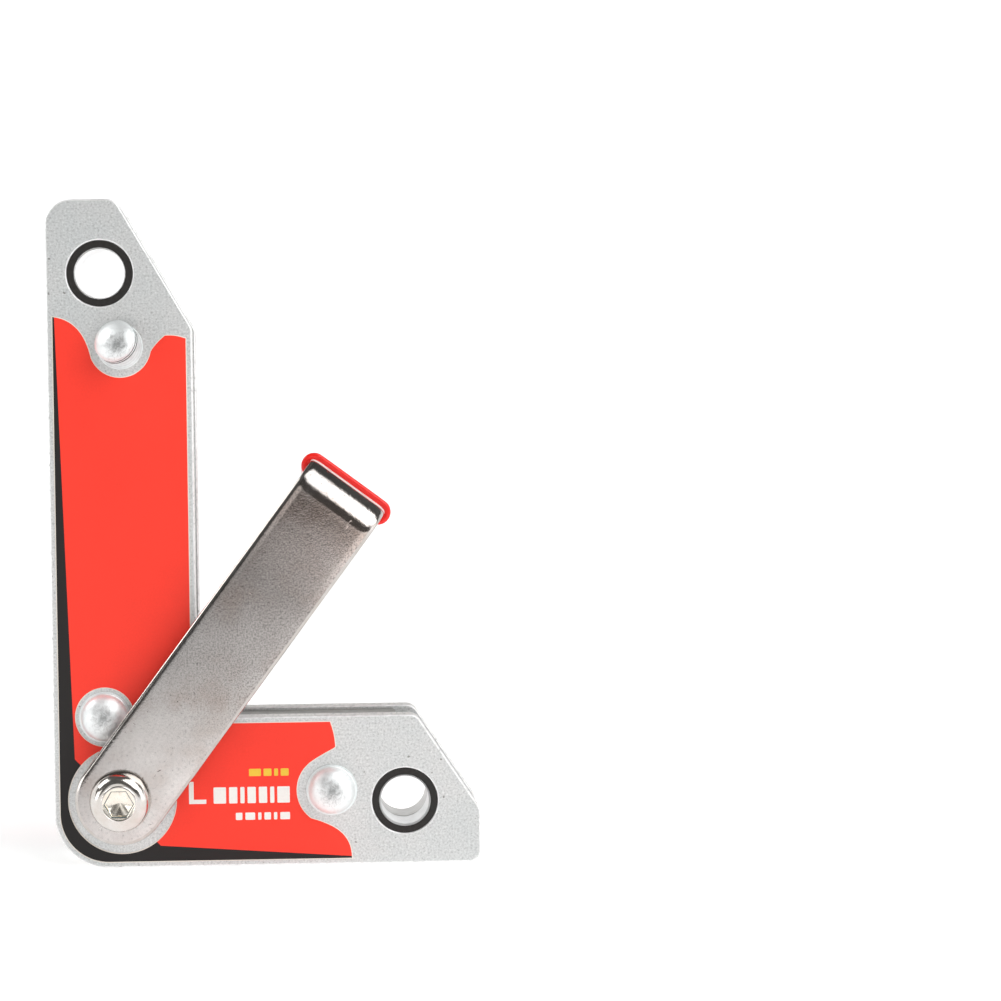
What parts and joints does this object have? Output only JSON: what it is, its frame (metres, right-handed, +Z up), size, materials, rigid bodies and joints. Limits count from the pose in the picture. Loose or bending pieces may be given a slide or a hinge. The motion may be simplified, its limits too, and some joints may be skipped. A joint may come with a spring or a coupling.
{
  "type": "welding magnet holder",
  "caption": "Right-angle magnetic welding holder: two L-shaped steel plates on magnets, with clearance holes and a red-gripped lever whose cam frees it from the work.",
  "frame": {"origin": "under the middle of the whole holder's box, in the plane of the short leg's working edge", "axes": "+X along the short leg away from the outer corner, +Y from the lever side to the back, +Z up the long leg"},
  "size_m": [0.099, 0.0308, 0.155],
  "materials": {
    "zinc_plate": "bright zinc plate, satin with fine speckle",
    "label_vinyl": "printed red vinyl with a black corner wedge",
    "lever_plate": "nickel plate over rough-polished strip, orange peel",
    "screw": "bright nickel",
    "grip_coat": "glossy dipped PVC",
    "rivet_alloy": "turned bright",
    "sleeve_alloy": "drawn bright",
    "ring_black": "satin black moulding",
    "turned_steel": "turned",
    "bar_steel": "mill finish",
    "magnet": "sintered ferrite"
  },
  "bodies": {
    "holder": {"front_plate": "zinc_plate", "rear_plate": "zinc_plate", "front_label": "label_vinyl", "rear_label": "label_vinyl", "upper_ring_front": "ring_black", "upper_ring_rear": "ring_black", "lower_ring_front": "ring_black", "lower_ring_rear": "ring_black", "upper_sleeve_front": "sleeve_alloy", "upper_sleeve_rear": "sleeve_alloy", "lower_sleeve_front": "sleeve_alloy", "lower_sleeve_rear": "sleeve_alloy", "rivet_upper": "rivet_alloy", "rivet_corner": "rivet_alloy", "rivet_lower": "rivet_alloy", "rivet_washer_upper": "rivet_alloy", "rivet_washer_corner": "rivet_alloy", "rivet_washer_lower": "rivet_alloy", "rivet_tube_upper": "turned_steel", "rivet_tube_corner": "turned_steel", "rivet_tube_lower": "turned_steel", "rivet_collar_upper": "rivet_alloy", "rivet_collar_corner": "rivet_alloy", "rivet_collar_lower": "rivet_alloy", "magnet_long_lower": "magnet", "magnet_long_upper": "magnet", "magnet_short": "magnet", "spacer_bar_long": "bar_steel", "spacer_bar_short": "bar_steel", "front_bush": "ring_black", "rear_bush": "ring_black"},
    "release_lever": {"lever": "lever_plate", "grip": "grip_coat", "pivot_screw": "screw", "pivot_shaft": "turned_steel", "lever_spacer": "turned_steel", "release_cam": "turned_steel"}
  },
  "joints": [
    {"name": "lever", "type": "hinge", "parent": "holder", "child": "release_lever", "pos_m": [-0.0335, 0.00555, 0.0172], "axis": [0, 1, 0], "range_deg": [-16, 48]}
  ]
}
